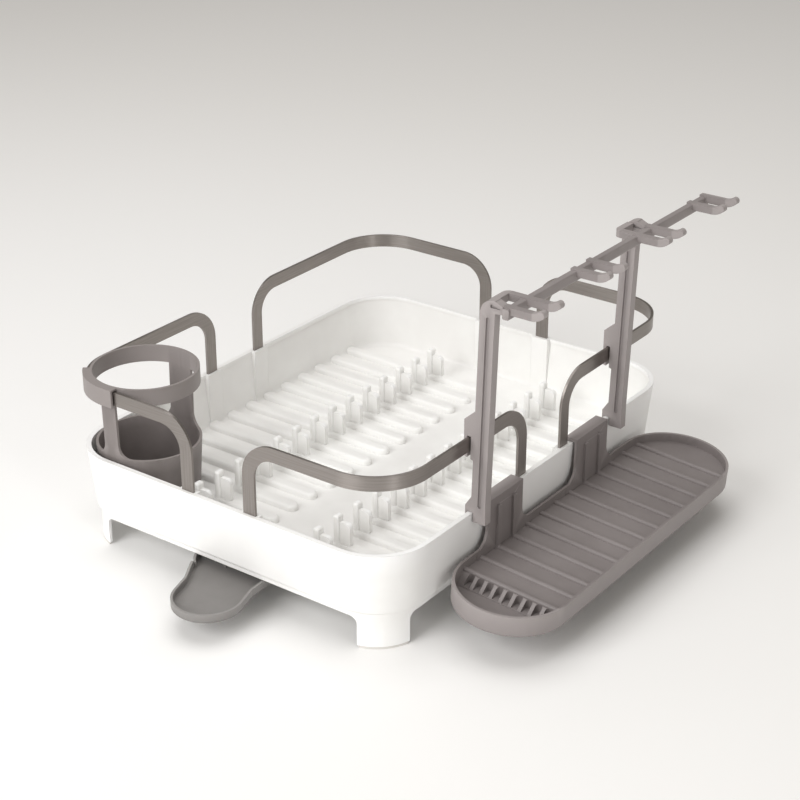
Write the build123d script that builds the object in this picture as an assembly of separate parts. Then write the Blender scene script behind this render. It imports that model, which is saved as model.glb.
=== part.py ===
from build123d import *
import os
from math import cos, radians, sin

# Dish drying rack. Millimetres, +Z up, ground at z = 0.
# +X runs along the long side, -Y is the stemware side, the spout leaves at -X.

# basin
tray_length = 455.0
tray_width = 360.0
corner_radius = 51.0
rim_z = 92.0
step_z = 34.0
floor_top = 37.5
wall = 3.0
wall_taper = 5.7
rim_bead = 4.5
rim_bead_height = 4.0
skirt_inset = 8.7
skirt_bottom = 29.0
leg_reach = 41.0
leg_bottom = 2.2
leg_blend = 7.0

# floor ribs and dish pegs
rib_pitch = 27.0
rib_count = 14
rib_width = 12.0
rib_height = 5.5
rib_inner_left = 4.0
rib_inner_right = -62.0
peg_row = 67.0
peg_length = 9.0
peg_depth = 6.2
peg_corner = 2.4
peg_tip = 2.2
peg_top = 69.0
fin_thickness = 4.2
fin_reach = 14.0
fin_top = 63.5

# corner rails, flat strip
strip_width = 12.7
strip_thick = 2.3
rail_top = 161.0
rail_inset = 3.2
rail_corner = 51.0
bend_outer = 33.5
leg_from_middle = 34.0
socket_depth = 14.0
socket_play = 0.1
boss_width = 19.0
boss_depth = 8.8

# utensil holder
holder_from_wall = rail_inset + rail_corner
ring_outer = 47.9
ring_wall = 2.4
ring_top = 163.0
ring_bottom = 147.5
cup_top = 94.5
cup_bottom = 46.0
cup_top_radius = 46.8
cup_low_radius = 43.5
hook_inner = rail_corner + 0.6
hook_outer = rail_corner + 2.8
hook_skin = 1.7
hook_sweep = 52.0
hook_straight = 11.0
near_strut = 16.0
far_strut = 26.0
window_round = 11.0

# stemware rack
post_x = 110.0
post_width = 8.0
post_outer = 13.0
post_inner = -1.0
post_lean = 5.0
post_foot = 84.0
lean_start = 107.0
post_top = 285.0
post_bend = 13.0
bar_inner = 25.0
bar_outer = 31.0
bar_bottom = 272.0
bar_top = 281.0
pair_pitch = 98.0
pair_count = 4
prong_gap = 24.0
prong_size = 6.0
prong_bottom = 276.0
prong_top = 282.5
prong_reach = 61.7
prong_curl = 14.0
curl_turn = 40.0
link_inner = 8.0
link_depth = 6.0
bar_overhang = 5.0
bar_edge = 1.2
pocket_play = 0.05
tenon_width = 6.0
tenon_height = 4.0
tenon_z = 277.5
tenon_end = 29.0

# drip tray
drip_length = 368.0
drip_width = 100.0
drip_rim = 55.0
drip_bottom = 36.0
drip_wall = 2.5
drip_inner = 2.0
drip_shift = 5.0
drip_tilt = 4.1
platform_top = 47.0
platform_skin = 2.5
pocket_floor = 38.5
comb_x = -132.0
comb_run = 9.0
comb_pitch = 9.4
comb_count = 9
slot_length = 11.5
slot_width = 6.0
bead_pitch = 23.4
bead_count = 13
bead_width = 5.4
bead_height = 2.6
bead_round = 2.2
arm_centre = 70.2
arm_width = 53.0
arm_flare = 15.0
arm_skin = 2.6

# swivel spout
drain_x = -200.0
drain_radius = 8.0
stub_radius = 11.0
stub_bottom = 25.5
spout_swing = 17.0
spout_top = 28.2
spout_floor = 22.6
spout_bottom = 20.0
hub_radius = 40.0
tongue_width = 62.0
tongue_reach = 66.0
running_play = 0.06
snap_z = 27.2
collar_top = 32.0

half_length = tray_length / 2
half_width = tray_width / 2


def box_between(low, high):
    size = [high[i] - low[i] for i in range(3)]
    middle = [(high[i] + low[i]) / 2 for i in range(3)]
    return Pos(*middle) * Box(*size)


def rounded_slab(inset, low, high):
    outline = RectangleRounded(tray_length - 2 * inset, tray_width - 2 * inset,
                               corner_radius - inset)
    return Pos(0, 0, low) * extrude(outline, amount=high - low)


def tapered_tub(inset_low, inset_high, low, high):
    lower = RectangleRounded(tray_length - 2 * inset_low, tray_width - 2 * inset_low,
                             corner_radius - inset_low)
    upper = RectangleRounded(tray_length - 2 * inset_high, tray_width - 2 * inset_high,
                             corner_radius - inset_high)
    return loft([Pos(0, 0, low) * lower, Pos(0, 0, high) * upper])


def wall_inset(z):
    return wall_taper * (rim_z - z) / (rim_z - step_z)


def socket_places():
    places = []
    for side in (-1, 1):
        for end in (-1, 1):
            places.append(Pos(end * leg_from_middle, side * half_width, 0) * Rot(0, 0, 90 + side * 90))
            places.append(Pos(side * half_length, end * leg_from_middle, 0) * Rot(0, 0, side * 90))
    return places


def make_basin():
    shell = tapered_tub(wall_taper, 0, step_z, rim_z)
    low_edges = shell.edges().group_by(Axis.Z)[0]
    shell = fillet(low_edges, 3.0)
    outer = shell
    bead_z = rim_z - rim_bead_height
    hollow = tapered_tub(wall + wall_inset(floor_top), wall + wall_inset(bead_z),
                         floor_top, bead_z)
    hollow = fillet(hollow.edges().group_by(Axis.Z)[0], 4.0)
    mouth = rounded_slab(rim_bead, bead_z - 1, rim_z + 1)
    shell = shell - hollow - mouth

    for place in socket_places():
        boss = place * box_between((-boss_width / 2, 1, step_z + 1),
                                   (boss_width / 2, boss_depth, rim_z))
        shell = shell + (boss & outer)
    for place in socket_places():
        half_slot = strip_width / 2 + socket_play
        shell = shell - place * box_between(
            (-half_slot, rail_inset - socket_play, rim_z - socket_depth),
            (half_slot, rail_inset + strip_thick + socket_play, rim_z + 1))

    shell = shell + floor_ribs() + pegs()
    shell = shell + skirt_and_legs()
    stub = Pos(drain_x, 0, stub_bottom) * extrude(Circle(stub_radius), amount=step_z + 1 - stub_bottom)
    bead = Pos(drain_x, 0, snap_z) * extrude(Circle(stub_radius + 0.9), amount=1.2)
    shell = shell + stub + bead
    shell = shell - Pos(drain_x, 0, stub_bottom - 1) * extrude(Circle(drain_radius), amount=30)
    return shell


def floor_ribs():
    ribs = []
    first = -(rib_count - 1) / 2 * rib_pitch
    wall_side = half_width - wall - wall_inset(floor_top) + 0.5
    for i in range(rib_count):
        x = first + i * rib_pitch
        for low, high in ((rib_inner_left, wall_side), (-wall_side, rib_inner_right)):
            rib = Pos(x, (low + high) / 2, floor_top - 0.5) * extrude(
                SlotOverall(high - low + rib_width / 2, rib_width, rotation=90), amount=rib_height + 0.5)
            rib = fillet(rib.edges().group_by(Axis.Z)[-1], 3.0)
            ribs.append(rib & rounded_slab(wall + 3.0, floor_top - 1, rim_z))
    return ribs


def pegs():
    """Rounded pegs in two rows, each with a lower fin towards -Y."""
    made = []
    first = -(rib_count - 1) / 2 * rib_pitch
    for i in range(rib_count):
        for y in (peg_row, -peg_row):
            place = Pos(first + i * rib_pitch, y, 0)
            peg = Pos(0, 0, floor_top - 0.5) * extrude(
                RectangleRounded(peg_length, peg_depth, peg_corner), amount=peg_top - floor_top + 0.5)
            peg = fillet(peg.edges().group_by(Axis.Z)[-1], peg_tip)
            fin = box_between((-fin_thickness / 2, -fin_reach, floor_top - 0.5),
                              (fin_thickness / 2, 0, fin_top))
            far_top = fin.edges().filter_by(Axis.X).group_by(Axis.Z)[-1].sort_by(Axis.Y)[0]
            fin = fillet(far_top, 4.0)
            made.append(place * peg)
            made.append(place * fin)
    return made


def skirt_and_legs():
    ring = rounded_slab(skirt_inset, leg_bottom, step_z + 1) - rounded_slab(
        skirt_inset + 3.0, leg_bottom - 1, step_z + 2)
    long_gap = box_between((-half_length + leg_reach, -half_width - 5, leg_bottom - 5),
                           (half_length - leg_reach, half_width + 5, skirt_bottom))
    long_gap = fillet(long_gap.edges().filter_by(Axis.Y).group_by(Axis.Z)[-1], leg_blend)
    short_gap = box_between((-half_length - 5, -half_width + leg_reach, leg_bottom - 5),
                            (half_length + 5, half_width - leg_reach, skirt_bottom))
    short_gap = fillet(short_gap.edges().filter_by(Axis.X).group_by(Axis.Z)[-1], leg_blend)
    return ring - long_gap - short_gap


def foot_pad(x_side, y_side):
    ring = rounded_slab(skirt_inset + 0.2, 0, leg_bottom) - rounded_slab(
        skirt_inset + 2.8, -1, leg_bottom + 1)
    reach = leg_reach - 1.5
    corner = box_between((x_side * half_length - reach, y_side * half_width - reach, -1),
                         (x_side * half_length + reach, y_side * half_width + reach, 5))
    return ring & corner


def strip_profile(to_corner):
    """Leg, bend and level run of one strip, drawn as distance from mid wall and height."""
    bend_inner = bend_outer - strip_width
    leg_low = rim_z - socket_depth
    start = leg_from_middle - strip_width / 2
    centre_s = start + bend_outer
    centre_z = rail_top - bend_outer
    leg = Pos(leg_from_middle, (leg_low + centre_z) / 2) * Rectangle(strip_width, centre_z - leg_low)
    bend = Pos(centre_s, centre_z) * (Circle(bend_outer) - Circle(bend_inner))
    quarter = Pos(centre_s - bend_outer / 2, centre_z + bend_outer / 2) * Rectangle(bend_outer, bend_outer)
    run = Pos((centre_s + to_corner) / 2, rail_top - strip_width / 2) * Rectangle(
        to_corner - centre_s, strip_width)
    return leg + (bend & quarter) + run


def corner_rail():
    """The strip round the -X, -Y corner."""
    arc_x = half_length - rail_inset - rail_corner
    arc_y = half_width - rail_inset - rail_corner
    flip = Rot(0, 180, 0)
    long_side = extrude(strip_profile(arc_x), amount=strip_thick)
    long_side = Pos(0, -half_width + rail_inset, 0) * Rot(90, 0, 0) * Pos(0, 0, -strip_thick) * long_side
    long_side = mirror(long_side, about=Plane.YZ)
    short_side = extrude(strip_profile(arc_y), amount=strip_thick)
    short_side = Rot(0, 0, -90) * Rot(90, 0, 0) * short_side
    short_side = Pos(-half_length + rail_inset + strip_thick, 0, 0) * short_side
    bend = Circle(rail_corner) - Circle(rail_corner - strip_thick)
    quarter = Pos(-rail_corner / 2, -rail_corner / 2) * Rectangle(rail_corner, rail_corner)
    corner = extrude(bend & quarter, amount=strip_width)
    corner = Pos(-arc_x, -arc_y, rail_top - strip_width) * corner
    return long_side + corner + short_side


def make_rails():
    near = corner_rail()
    right = mirror(near, about=Plane.YZ)
    return {
        "rail_near": near,
        "rail_left": mirror(near, about=Plane.XZ),
        "rail_right": right,
        "rail_far": mirror(right, about=Plane.XZ),
    }


def cylinder_between(radius, low, high):
    return Pos(0, 0, low) * extrude(Circle(radius), amount=high - low)


def make_holder():
    ring = cylinder_between(ring_outer, cup_top - 1, ring_top) - cylinder_between(
        ring_outer - ring_wall, cup_top - 2, ring_top + 1)
    cup = loft([Pos(0, 0, cup_bottom) * Circle(cup_low_radius),
                Pos(0, 0, cup_top) * Circle(cup_top_radius)])
    cup = fillet(cup.edges().group_by(Axis.Z)[0], 5.0)
    neck = loft([Pos(0, 0, cup_top) * Circle(cup_top_radius), Pos(0, 0, ring_bottom) * Circle(ring_outer)])
    bore = loft([Pos(0, 0, cup_bottom + 2.5) * Circle(cup_low_radius - ring_wall),
                 Pos(0, 0, cup_top) * Circle(cup_top_radius - ring_wall)])
    neck_bore = loft([Pos(0, 0, cup_top) * Circle(cup_top_radius - ring_wall),
                      Pos(0, 0, ring_bottom) * Circle(ring_outer - ring_wall)])
    band = cylinder_between(ring_outer, ring_bottom, ring_top)
    band_bore = cylinder_between(ring_outer - ring_wall, ring_bottom, ring_top + 1)
    body = cup + neck + band - bore - neck_bore - band_bore

    for side in (-1, 1):
        for end, strut in ((-1, near_strut), (1, far_strut)):
            window = box_between((min(end * 60, 0), strut / 2, cup_top),
                                 (max(end * 60, 0), 60, ring_bottom))
            low_edge = window.edges().filter_by(Axis.X).group_by(Axis.Z)[0].sort_by(Axis.Y)[0]
            window = fillet(low_edge, window_round)
            body = body - (mirror(window, about=Plane.XZ) if side < 0 else window)

    reach = 2 * hook_outer
    sweep = radians(hook_sweep)
    sector = Polygon((0, 0), (-reach, 0), (-reach * cos(sweep), reach * sin(sweep)), align=None)
    bore = Circle(ring_outer - 1)
    straight = Pos(-hook_outer / 2 - 20, -hook_straight / 2) * Rectangle(hook_outer - 40, hook_straight)
    lip = ((Circle(hook_outer) & sector) + straight) - bore
    skirt = (Circle(hook_outer) - Circle(hook_inner)) & sector
    skirt = skirt + Pos(-(hook_outer + hook_inner) / 2, -hook_straight / 2) * Rectangle(
        hook_outer - hook_inner, hook_straight)
    body = body + Pos(0, 0, ring_top - hook_skin) * extrude(lip, amount=hook_skin)
    body = body + Pos(0, 0, ring_bottom - 1) * extrude(skirt, amount=ring_top - ring_bottom + 1)

    holes = [Pos(18 * cos(radians(a)), 18 * sin(radians(a))) * Circle(3.5) for a in range(0, 360, 60)]
    for hole in holes + [Circle(3.5)]:
        body = body - Pos(0, 0, cup_bottom - 1) * extrude(hole, amount=5)
    return Pos(-half_length + holder_from_wall, half_width - holder_from_wall, 0) * body


def side_profile(sketch, width):
    """Turns a drawing of (outward distance, height) into a solid of this width, centred in X."""
    solid = extrude(sketch, amount=width / 2, both=True)
    return Pos(0, -half_width, 0) * Rot(0, 0, -90) * Rot(90, 0, 0) * solid


def post_outline():
    """The side of a post, as outward distance and height."""
    blade = Polygon((post_inner, post_foot), (post_outer, post_foot), (post_outer, lean_start),
                    (post_outer + post_lean, post_top), (post_inner + post_lean, post_top),
                    (post_inner, lean_start), align=None)
    top_inner = blade.vertices().sort_by_distance((post_inner + post_lean, post_top))[0]
    blade = fillet(top_inner, post_bend)
    arm = Polygon((16, 274), (bar_inner, 275), (bar_inner, 281.5), (17, post_top), (16, post_top),
                  align=None)
    saddle = Polygon((11, rim_z), (11, lean_start), (-1, lean_start), (-6.9, 98), (-6.9, 80), align=None)
    ear = Polygon((2, 140), (2, 186), (-9.2, 176), (-9.2, 143), align=None)
    rim_slot = Pos(-2.15, rim_z - 19.4) * Rectangle(5.5, 40)
    slot_top = rail_top + 0.6
    rail_slot = Pos(-4.35, (130 + slot_top) / 2) * Rectangle(3.5, slot_top - 130)
    return blade + arm + saddle + ear - rim_slot - rail_slot


def post_recesses():
    """The long groove in the side of a post, and the small one where it turns outwards."""
    groove = Pos(9.15, 184) * SlotOverall(171.5, 3.5, rotation=88.47)
    corner = Polygon((13.5, 278.5), (23, 278.8), (13.5, 281.8), align=None)
    return groove + corner


def make_post(x):
    post = side_profile(post_outline(), post_width)
    for face in (-1, 1):
        post = post - Pos(face * post_width / 2, 0, 0) * side_profile(post_recesses(), 3.0)
    tenon_start = bar_inner - 1
    tenon = Pos((tenon_start + tenon_end) / 2, tenon_z) * Rectangle(tenon_end - tenon_start, tenon_height)
    return Pos(x, 0, 0) * (post + side_profile(tenon, tenon_width))


def prong_outline():
    """One prong up to its upturned tip, as outward distance and height."""
    half = (prong_top - prong_bottom) / 2
    middle_z = prong_bottom + half
    turn = radians(curl_turn)
    straight_end = prong_reach - half - prong_curl * sin(turn)
    shank = Pos((bar_inner + straight_end) / 2, middle_z) * Rectangle(straight_end - bar_inner, 2 * half)
    sector = Polygon((0, 0), (0, -40), (40 * sin(turn) / cos(turn), -40), align=None)
    curl = (Circle(prong_curl + half) - Circle(prong_curl - half)) & sector
    tip = Pos(prong_curl * sin(turn), -prong_curl * cos(turn)) * Circle(half)
    return shank + Pos(straight_end, middle_z + prong_curl) * (curl + tip)


def prong_link():
    """Runs from the side of the front post to the second prong, round one corner."""
    start = -post_x + post_width / 2 + pocket_play
    near = -post_x + prong_gap - prong_size / 2
    far = near + prong_size
    back = -half_width - link_inner
    joint = -half_width - bar_inner - 1
    plan = Polygon((start, back), (start, back - link_depth), (near, back - link_depth), (near, joint),
                   (far, joint), (far, back), align=None)
    outer = plan.vertices().sort_by_distance((far, back))[0]
    plan = fillet(outer, 5.9)
    return Pos(0, 0, prong_bottom) * extrude(plan, amount=prong_top - prong_bottom)


def make_stem_bar():
    first = -post_x + prong_gap / 2
    high_x = first + (pair_count - 1) * pair_pitch + prong_gap / 2 + prong_size / 2
    bar = box_between((-post_x - bar_overhang, -half_width - bar_outer, bar_bottom),
                      (high_x, -half_width - bar_inner, bar_top))
    bar = fillet(bar.edges().filter_by(Axis.X), bar_edge)
    for i in range(pair_count):
        for side in (-1, 1):
            x = first + i * pair_pitch + side * prong_gap / 2
            bar = bar + Pos(x, 0, 0) * side_profile(prong_outline(), prong_size)
    link = prong_link()
    bar = bar + link + mirror(link, about=Plane.YZ)
    reach = tenon_width / 2 + pocket_play
    half_tenon = tenon_height / 2 + pocket_play
    for x in (-post_x, post_x):
        bar = bar - box_between(
            (x - reach, -half_width - tenon_end - pocket_play, tenon_z - half_tenon),
            (x + reach, -half_width - bar_inner + 1, tenon_z + half_tenon))
    return bar


def stadium(length, width, low, high):
    return Pos(drip_shift, -half_width - drip_inner - drip_width / 2, low) * extrude(
        SlotOverall(length, width), amount=high - low)


def drip_tub():
    """The level tub: a raised platform with beads across it, and a pocket at the -X end."""
    inner_length = drip_length - 2 * drip_wall
    inner_width = drip_width - 2 * drip_wall
    middle_y = -half_width - drip_inner - drip_width / 2
    tub = stadium(drip_length, drip_width, drip_bottom, drip_rim)
    tub = fillet(tub.edges().group_by(Axis.Z)[0], 2.0)
    tub = tub - stadium(inner_length, inner_width, platform_top, drip_rim + 1)
    pocket = stadium(inner_length, inner_width, pocket_floor, drip_rim + 1)
    past_comb = box_between((-drip_length, middle_y - drip_width, 0),
                            (comb_x - comb_run, middle_y + drip_width, 100))
    tub = tub - (pocket & past_comb)
    step = Polygon((comb_x - comb_run - 0.5, pocket_floor), (comb_x, platform_top + 0.5),
                   (comb_x - comb_run - 0.5, platform_top + 0.5), align=None)
    step = Pos(0, middle_y + drip_width, 0) * Rot(90, 0, 0) * extrude(step, amount=2 * drip_width)
    tub = tub - (pocket & step)
    for i in range(comb_count):
        y = middle_y + (i - (comb_count - 1) / 2) * comb_pitch
        tub = tub - Pos(comb_x - comb_run / 2, y, pocket_floor + 0.7) * extrude(
            SlotOverall(slot_length, slot_width), amount=12)
    hollow = stadium(inner_length, inner_width, drip_bottom - 1, platform_top - platform_skin)
    behind_comb = box_between((comb_x + 3, middle_y - drip_width, 0),
                              (drip_length, middle_y + drip_width, 100))
    tub = tub - (hollow & behind_comb)
    return tub + drip_beads(middle_y, inner_length, inner_width)


def drip_beads(middle_y, inner_length, inner_width):
    beads = []
    for i in range(bead_count):
        x = (i - bead_count / 2 + 1) * bead_pitch
        bead = box_between((x - bead_width / 2, middle_y - drip_width / 2, platform_top - 0.5),
                           (x + bead_width / 2, middle_y + drip_width / 2, platform_top + bead_height))
        bead = fillet(bead.edges().filter_by(Axis.Y).group_by(Axis.Z)[-1], bead_round)
        beads.append(bead & stadium(inner_length + 1, inner_width + 1, platform_top - 1, drip_rim))
    return beads


def drip_arm():
    """One hook arm: a flared plate, a cap over the rim and a narrower leg inside it."""
    outer = drip_inner + arm_skin
    cap_top = rim_z + 3.4
    foot = drip_rim - 8
    half = arm_width / 2
    plate = Polygon((-half - arm_flare, foot), (half + arm_flare, foot), (half + arm_flare, drip_rim - 1),
                    (half, drip_rim - 1), (half, cap_top), (-half, cap_top), (-half, drip_rim - 1),
                    (-half - arm_flare, drip_rim - 1), align=None)
    for side in (-1, 1):
        low = drip_rim - 1
        corner = Pos(side * (half + arm_flare / 2), low + arm_flare / 2) * Rectangle(arm_flare, arm_flare)
        plate = plate + (corner - Pos(side * (half + arm_flare), low + arm_flare) * Circle(arm_flare))
    arm = Pos(0, -half_width - drip_inner, 0) * Rot(90, 0, 0) * extrude(plate, amount=arm_skin)
    cap = Pos((outer - 7.9) / 2, rim_z + 2.1) * Rectangle(outer + 7.9, 2.6)
    leg = Pos(-6.6, rim_z - 7.3) * Rectangle(2.6, 21.4)
    arm = arm + side_profile(cap, arm_width) + side_profile(leg, arm_width - 8)
    for side in (-1, 1):
        rib = Pos(outer + 0.7, (foot + rim_z - 4) / 2) * Rectangle(3.4, rim_z - 4 - foot)
        rib = side_profile(rib, 5.0)
        rib = fillet(rib.edges().filter_by(Axis.Y).group_by(Axis.Z)[-1], 2.2)
        arm = arm + Pos(side * bead_pitch / 2, 0, 0) * rib
    return arm


def make_drip_tray():
    hinge_line = Pos(0, -half_width - drip_inner, drip_rim)
    tub = hinge_line * Rot(drip_tilt, 0, 0) * hinge_line.inverse() * drip_tub()
    for side in (-1, 1):
        tub = tub + Pos(side * arm_centre, 0, 0) * drip_arm()
    return tub


def spout_plan(grow):
    hub = Circle(hub_radius + grow)
    end = Pos(-tongue_reach, 0) * Circle(tongue_width / 2 + grow)
    neck = Pos(-tongue_reach / 2, 0) * Rectangle(tongue_reach, tongue_width + 2 * grow)
    flare_out = hub_radius + 3.0
    flare = Polygon((-20, flare_out * 0.86 + grow), (-46, tongue_width / 2 + grow),
                    (-46, -tongue_width / 2 - grow),
                    (-20, -flare_out * 0.86 - grow), align=None)
    return hub + end + neck + flare


def make_spout():
    dish = Pos(0, 0, spout_bottom) * extrude(spout_plan(0), amount=spout_top - spout_bottom)
    dish = fillet(dish.edges().group_by(Axis.Z)[0], 2.0)
    dish = dish - Pos(0, 0, spout_floor) * extrude(spout_plan(-2.2), amount=10)
    collar = cylinder_between(15.0, spout_floor - 0.5, collar_top)
    dish = dish + collar
    dish = dish - cylinder_between(stub_radius + running_play, spout_floor, 40)
    dish = dish - cylinder_between(stub_radius + 0.9 + running_play, snap_z - 0.1, snap_z + 1.3)
    outlet = box_between((-20, -8, spout_floor), (0, 8, stub_bottom - 0.3))
    dish = dish - outlet
    dish = Rot(0, 0, spout_swing) * dish
    return Pos(drain_x, 0, 0) * dish


def main():
    nodes = {"tray_basin": make_basin()}
    nodes.update(make_rails())
    for name, x_side, y_side in (("near", -1, -1), ("left", -1, 1), ("right", 1, -1), ("far", 1, 1)):
        nodes["foot_pad_" + name] = foot_pad(x_side, y_side)
    nodes["utensil_holder"] = make_holder()
    nodes["rack_post_front"] = make_post(-post_x)
    nodes["rack_post_rear"] = make_post(post_x)
    nodes["stem_bar"] = make_stem_bar()
    nodes["drip_tray"] = make_drip_tray()
    nodes["spout"] = make_spout()

    boxes = [shape.bounding_box() for shape in nodes.values()]
    low_x = min(b.min.X for b in boxes)
    high_x = max(b.max.X for b in boxes)
    low_y = min(b.min.Y for b in boxes)
    high_y = max(b.max.Y for b in boxes)
    shift = Pos(-(low_x + high_x) / 2, -(low_y + high_y) / 2, 0)
    print("shift", -(low_x + high_x) / 2, -(low_y + high_y) / 2)
    os.makedirs("parts", exist_ok=True)
    for name, shape in nodes.items():
        moved = shift * shape
        solids = moved.solids()
        print(name, len(solids), round(sum(s.volume for s in solids) / 1000, 1), "cm3", moved.is_valid)
        export_step(moved, "parts/" + name + ".step")


main()
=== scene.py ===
import bpy
import math
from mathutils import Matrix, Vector


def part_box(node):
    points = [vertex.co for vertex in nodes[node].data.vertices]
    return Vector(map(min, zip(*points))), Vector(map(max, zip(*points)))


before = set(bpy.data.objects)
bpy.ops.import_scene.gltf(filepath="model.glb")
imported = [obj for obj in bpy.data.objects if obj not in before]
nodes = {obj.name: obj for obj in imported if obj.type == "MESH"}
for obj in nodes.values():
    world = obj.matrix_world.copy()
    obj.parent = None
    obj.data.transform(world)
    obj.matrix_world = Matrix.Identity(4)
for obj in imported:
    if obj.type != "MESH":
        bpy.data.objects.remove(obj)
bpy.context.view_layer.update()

scene = bpy.context.scene
millimetre = 0.001
print("frame loaded with", len(nodes), "pieces")


def hexToLinear(text):
    channels = [int(text[i:i + 2], 16) / 255 for i in (1, 3, 5)]
    linear = [c / 12.92 if c <= 0.04045 else ((c + 0.055) / 1.055) ** 2.4 for c in channels]
    return (*linear, 1.0)


def addNode(tree, kind, settings=None, inputs=None, links=None):
    # settings go on the node, inputs on its sockets, links are {socket: (node, output)};
    # a socket or output is given by its name, or by its place where several share a name
    node = tree.nodes.new(kind)
    for name, value in (settings or {}).items():
        setattr(node, name, value)
    for socket, value in (inputs or {}).items():
        node.inputs[socket].default_value = value
    for socket, (source, output) in (links or {}).items():
        tree.links.new(source.outputs[output], node.inputs[socket])
    return node


def newMaterial(name):
    material = bpy.data.materials.new(name)
    material.use_nodes = True
    tree = material.node_tree
    tree.nodes.clear()
    shader = addNode(tree, "ShaderNodeBsdfPrincipled")
    addNode(tree, "ShaderNodeOutputMaterial", links={"Surface": (shader, "BSDF")})
    return material, tree, shader


def setStops(ramp, stops):
    for element, (place, colour) in zip(ramp.color_ramp.elements, stops):
        element.position = place
        element.color = colour


# sockets of a Mix node: its float factor and sides, then its colour sides and colour result
mixFactor, mixFloatA, mixFloatB, mixColourA, mixColourB, mixColourResult = 0, 2, 3, 6, 7, 2
black, white = (0, 0, 0, 1), (1, 1, 1, 1)

# what every moulded piece shares: where the cloud and edge masks start and end
moulding = {"cloudMask": (0.34, 0.66), "cloudRange": (0.3, 0.7), "edgeMask": (0.51, 0.60),
            "grainHeight": 0.2 * millimetre, "edgeSamples": 4}


def mouldedPlastic(name, look):
    # injection moulded polypropylene: spark-eroded grain in the gloss, faint flow clouds in the colour, and
    # every convex edge, picked by pointiness, a little paler
    material, tree, shader = newMaterial(name)
    place = addNode(tree, "ShaderNodeTexCoord")
    clouds = addNode(tree, "ShaderNodeTexNoise",
                     inputs={"Scale": 1 / look["cloudSize"], "Detail": 4.0, "Roughness": 0.6},
                     links={"Vector": (place, "Object")})
    tint = addNode(tree, "ShaderNodeValToRGB", links={"Fac": (clouds, "Fac")})
    setStops(tint, zip(moulding["cloudMask"], (hexToLinear(look["dark"]), hexToLinear(look["light"]))))
    shape = addNode(tree, "ShaderNodeNewGeometry")
    # the edge colour is paler on every convex edge the pointiness mask picks
    paleEdges = addNode(tree, "ShaderNodeValToRGB", links={"Fac": (shape, "Pointiness")})
    setStops(paleEdges, zip(moulding["edgeMask"], (black, white)))
    colour = addNode(tree, "ShaderNodeMix", {"data_type": "RGBA"},
                     inputs={mixColourB: hexToLinear(look["edge"])},
                     links={mixFactor: (paleEdges, "Color"), mixColourA: (tint, "Color")})
    tree.links.new(colour.outputs[mixColourResult], shader.inputs["Base Color"])
    gloss = addNode(tree, "ShaderNodeMapRange",
                    inputs={"From Min": moulding["cloudRange"][0], "From Max": moulding["cloudRange"][1],
                            "To Min": look["roughness"] - look["glossSpread"],
                            "To Max": look["roughness"] + look["glossSpread"]},
                    links={"Value": (clouds, "Fac")})
    tree.links.new(gloss.outputs["Result"], shader.inputs["Roughness"])
    grain = addNode(tree, "ShaderNodeTexNoise",
                    inputs={"Scale": 1 / look["grainSize"], "Detail": 2.0, "Roughness": 0.5},
                    links={"Vector": (place, "Object")})
    rounded = addNode(tree, "ShaderNodeBevel", {"samples": moulding["edgeSamples"]},
                      {"Radius": look["edgeRadius"]})  # a mould leaves no knife edge
    bump = addNode(tree, "ShaderNodeBump",
                   inputs={"Strength": look["grainDepth"], "Distance": moulding["grainHeight"]},
                   links={"Height": (grain, "Fac"), "Normal": (rounded, "Normal")})
    tree.links.new(bump.outputs["Normal"], shader.inputs["Normal"])
    shader.inputs["IOR"].default_value = look["ior"]
    return material


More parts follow.
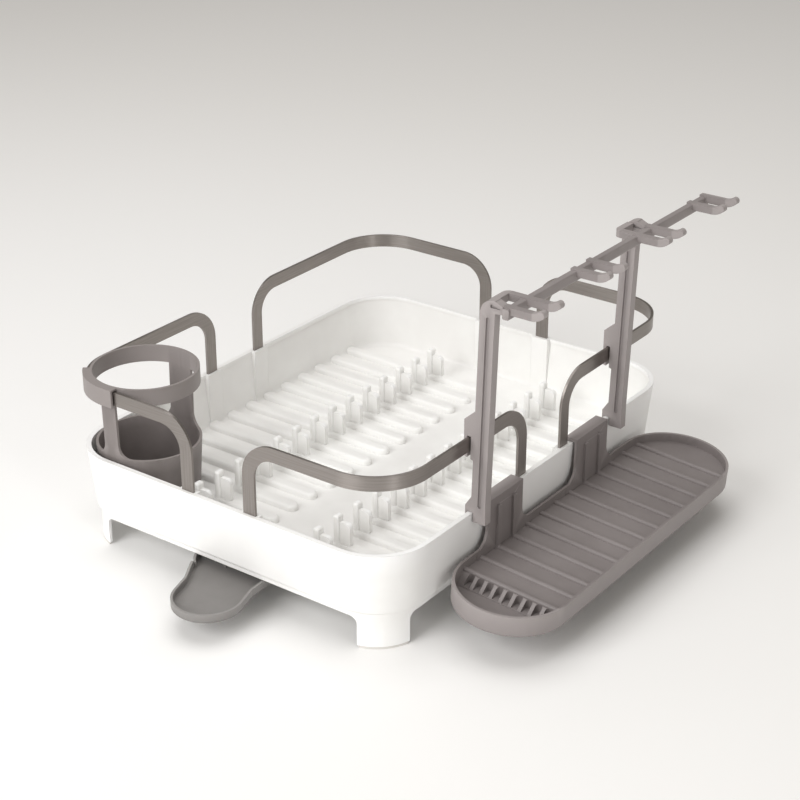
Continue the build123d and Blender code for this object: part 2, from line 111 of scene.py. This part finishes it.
def brushedSteel(name, look):
    # stainless strip brushed along its length on a belt: fine lengthwise lines that pull each
    # highlight out across the strip
    material, tree, shader = newMaterial(name)
    place = addNode(tree, "ShaderNodeTexCoord")
    split = addNode(tree, "ShaderNodeSeparateXYZ", links={"Vector": (place, "Object")})
    inRun = addNode(tree, "ShaderNodeMapRange", {"interpolation_type": "SMOOTHSTEP"},
                    {"From Min": look["legTop"], "From Max": look["runFoot"], "To Min": 0.0, "To Max": 1.0},
                    {"Value": (split, "Z")})
    along, across = 1 / look["lineLength"], 1 / look["lineWidth"]
    lines = []
    for scale in ((across, across, along), (along, along, across)):  # upright legs, then level runs
        stretch = addNode(tree, "ShaderNodeMapping", inputs={"Scale": scale},
                          links={"Vector": (place, "Object")})
        lines.append(addNode(tree, "ShaderNodeTexNoise",
                             inputs={"Scale": 1.0, "Detail": 3.0, "Roughness": 0.55},
                             links={"Vector": (stretch, "Vector")}))
    brush = addNode(tree, "ShaderNodeMix", {"data_type": "FLOAT"},
                    links={mixFactor: (inRun, "Result"), mixFloatA: (lines[0], "Fac"),
                           mixFloatB: (lines[1], "Fac")})
    tint = addNode(tree, "ShaderNodeValToRGB", links={"Fac": (brush, "Result")})
    setStops(tint, zip(look["lineMask"], (hexToLinear(look["dark"]), hexToLinear(look["light"]))))
    tree.links.new(tint.outputs["Color"], shader.inputs["Base Color"])
    gloss = addNode(tree, "ShaderNodeMapRange",
                    inputs={"From Min": look["lineRange"][0], "From Max": look["lineRange"][1],
                            "To Min": look["roughness"] - look["glossBelow"],
                            "To Max": look["roughness"] + look["glossAbove"]},
                    links={"Value": (brush, "Result")})
    tree.links.new(gloss.outputs["Result"], shader.inputs["Roughness"])
    rounded = addNode(tree, "ShaderNodeBevel", {"samples": look["edgeSamples"]},
                      {"Radius": look["edgeRadius"]})  # the belt breaks the strip's sharp edges
    bump = addNode(tree, "ShaderNodeBump",
                   inputs={"Strength": look["lineDepth"], "Distance": look["lineHeight"]},
                   links={"Height": (brush, "Result"), "Normal": (rounded, "Normal")})
    tree.links.new(bump.outputs["Normal"], shader.inputs["Normal"])
    ring = addNode(tree, "ShaderNodeTangent", {"direction_type": "RADIAL", "axis": "Z"})
    tree.links.new(ring.outputs["Tangent"], shader.inputs["Tangent"])
    shader.inputs["Anisotropic"].default_value = look["pull"]
    shader.inputs["Anisotropic Rotation"].default_value = look["pullTurn"]
    shader.inputs["Metallic"].default_value = 1.0
    return material


def finishPieces(names, material):
    for name in names:
        mesh = nodes[name].data
        mesh.materials.clear()
        mesh.materials.append(material)
    print(material.name, "on", ", ".join(names))


# spark grain and brush lines are really near 0.1 mm; they are drawn at 0.8 mm or more to show
basinLook = {"dark": "#f2f1ef", "light": "#fafaf8", "edge": "#ffffff", "cloudSize": 90 * millimetre,
             "grainSize": 0.9 * millimetre, "grainDepth": 0.08, "roughness": 0.38, "glossSpread": 0.05,
             "edgeRadius": 0.8 * millimetre, "ior": 1.46}
finishPieces(["tray_basin"], mouldedPlastic("mouldedWhitePolypropylene", basinLook))

railLook = {"dark": "#918b87", "light": "#a19b97", "legTop": 128 * millimetre, "runFoot": 146 * millimetre,
            "lineLength": 40 * millimetre, "lineWidth": 0.8 * millimetre, "lineDepth": 0.06,
            "lineHeight": 0.1 * millimetre, "lineMask": (0.30, 0.70), "lineRange": (0.25, 0.75),
            "roughness": 0.36, "glossBelow": 0.04, "glossAbove": 0.06,
            "pull": 0.8, "pullTurn": 0.25,  # pullTurn is in turns, from along the strip to across it
            "edgeRadius": 0.3 * millimetre, "edgeSamples": 4}
finishPieces(["rail_near", "rail_left", "rail_right", "rail_far"],
             brushedSteel("beltBrushedStainlessStrip", railLook))

padLook = {"dark": "#c4c1bd", "light": "#d2cfcb", "edge": "#dedbd7", "cloudSize": 20 * millimetre,
           "grainSize": 0.8 * millimetre, "grainDepth": 0.3, "roughness": 0.74, "glossSpread": 0.04,
           "edgeRadius": 0.3 * millimetre, "ior": 1.52}
finishPieces(["foot_pad_near", "foot_pad_left", "foot_pad_right", "foot_pad_far"],
             mouldedPlastic("mouldedPaleRubber", padLook))

# the cup is the same grey plastic as the rack; its darker greys here are painted shade
holderShadedGreyLook = {"dark": "#77706e", "light": "#837c7a", "edge": "#918a88", "cloudSize": 45 * millimetre,
              "grainSize": 0.9 * millimetre, "grainDepth": 0.2, "roughness": 0.50, "glossSpread": 0.06,
              "edgeRadius": 0.4 * millimetre, "ior": 1.49}
finishPieces(["utensil_holder"], mouldedPlastic("mouldedGreyPlasticCupPaintedShade", holderShadedGreyLook))

rackLook = {"dark": "#8a8382", "light": "#958e8d", "edge": "#a39c9b", "cloudSize": 60 * millimetre,
            "grainSize": 0.9 * millimetre, "grainDepth": 0.2, "roughness": 0.50, "glossSpread": 0.06,
            "edgeRadius": 0.5 * millimetre, "ior": 1.49}
finishPieces(["rack_post_front", "rack_post_rear", "stem_bar"],
             mouldedPlastic("mouldedGreyRackPlastic", rackLook))

# the drip tray is the same grey plastic as the rack; its darker greys here are painted shade
dripTrayShadedGreyLook = {"dark": "#7f7877", "light": "#8b8483", "edge": "#9d9695", "cloudSize": 70 * millimetre,
                "grainSize": 0.9 * millimetre, "grainDepth": 0.2, "roughness": 0.46, "glossSpread": 0.06,
                "edgeRadius": 0.5 * millimetre, "ior": 1.49}
finishPieces(["drip_tray"], mouldedPlastic("mouldedGreyPlasticDripTrayPaintedShade", dripTrayShadedGreyLook))

spoutLook = {"dark": "#777472", "light": "#817e7c", "edge": "#918e8c", "cloudSize": 50 * millimetre,
             "grainSize": 0.9 * millimetre, "grainDepth": 0.15, "roughness": 0.44, "glossSpread": 0.05,
             "edgeRadius": 0.5 * millimetre, "ior": 1.49}
finishPieces(["spout"], mouldedPlastic("mouldedGreySpoutPlastic", spoutLook))

studio = {"floorSize": 6.0, "floorLight": "#ffffff", "floorDark": "#f8f7f5", "cloudSize": 0.5,
          "cloudMask": (0.3, 0.7), "floorRoughness": 0.7, "worldColour": "#fff9f1", "worldStrength": 0.33}

# a matt painted floor: nearly even, with clouds half a metre wide that barely show
half = studio["floorSize"] / 2
floorMesh = bpy.data.meshes.new("studioFloor")
floorMesh.from_pydata([(-half, -half, 0), (half, -half, 0), (half, half, 0), (-half, half, 0)],
                      [], [(0, 1, 2, 3)])
floor = bpy.data.objects.new("studioFloor", floorMesh)
scene.collection.objects.link(floor)
floorMaterial, floorTree, floorShader = newMaterial("paintedStudioFloor")
floorClouds = addNode(floorTree, "ShaderNodeTexNoise",
                      inputs={"Scale": 1 / studio["cloudSize"], "Detail": 2.0})
floorTint = addNode(floorTree, "ShaderNodeValToRGB", links={"Fac": (floorClouds, "Fac")})
setStops(floorTint, zip(studio["cloudMask"],
                        (hexToLinear(studio["floorDark"]), hexToLinear(studio["floorLight"]))))
floorTree.links.new(floorTint.outputs["Color"], floorShader.inputs["Base Color"])
floorShader.inputs["Roughness"].default_value = studio["floorRoughness"]
floorMesh.materials.append(floorMaterial)

world = bpy.data.worlds.new("paleStudio")
world.use_nodes = True
background = world.node_tree.nodes["Background"]
background.inputs["Color"].default_value = hexToLinear(studio["worldColour"])
background.inputs["Strength"].default_value = studio["worldStrength"]
scene.world = world

# places are metres from the middle of the basin
basinLow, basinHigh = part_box("tray_basin")
basinMiddle = Vector((basinLow + basinHigh) / 2)
softboxes = {
    "keyFromLeft": {"place": (-2.3, 0.35, 1.35), "width": 1.6, "height": 1.6, "watts": 42},
    "boxAbove": {"place": (0.1, 0.2, 2.4), "width": 2.2, "height": 2.2, "watts": 26},
    "stripForMetal": {"place": (-1.0, -2.1, 0.6), "width": 0.3, "height": 1.8, "watts": 9},
}
for name, box in softboxes.items():
    light = bpy.data.lights.new(name, "AREA")
    light.shape = "RECTANGLE"
    light.size = box["width"]
    light.size_y = box["height"]
    light.energy = box["watts"]
    lamp = bpy.data.objects.new(name, light)
    lamp.location = basinMiddle + Vector(box["place"])
    lamp.rotation_euler = (basinMiddle - lamp.location).to_track_quat("-Z", "Y").to_euler()
    scene.collection.objects.link(lamp)
scene.view_settings.view_transform = "Standard"
print("studio lit by", len(softboxes), "softboxes")

# angles in degrees, distances in metres; the target is measured from the ground under the
# basin's middle, the lens and its sensor are in camera millimetres
shot = {"azimuth": -53.67, "elevation": 25.84, "distance": 1.6957, "lens": 83.0, "sensorWidth": 36.0,
        "target": (0.0132, -0.0130, 0.0978)}
camera = bpy.data.objects.new("shotCamera", bpy.data.cameras.new("shotCamera"))
camera.data.lens = shot["lens"]
camera.data.sensor_width = shot["sensorWidth"]
azimuth = math.radians(shot["azimuth"])
elevation = math.radians(shot["elevation"])
camera.rotation_euler = (math.pi / 2 - elevation, 0, azimuth)
away = Vector((math.sin(azimuth) * math.cos(elevation), -math.cos(azimuth) * math.cos(elevation),
               math.sin(elevation)))
ground = Vector((basinMiddle.x, basinMiddle.y, 0))
camera.location = ground + Vector(shot["target"]) + away * shot["distance"]
scene.collection.objects.link(camera)
scene.camera = camera
print("camera placed")
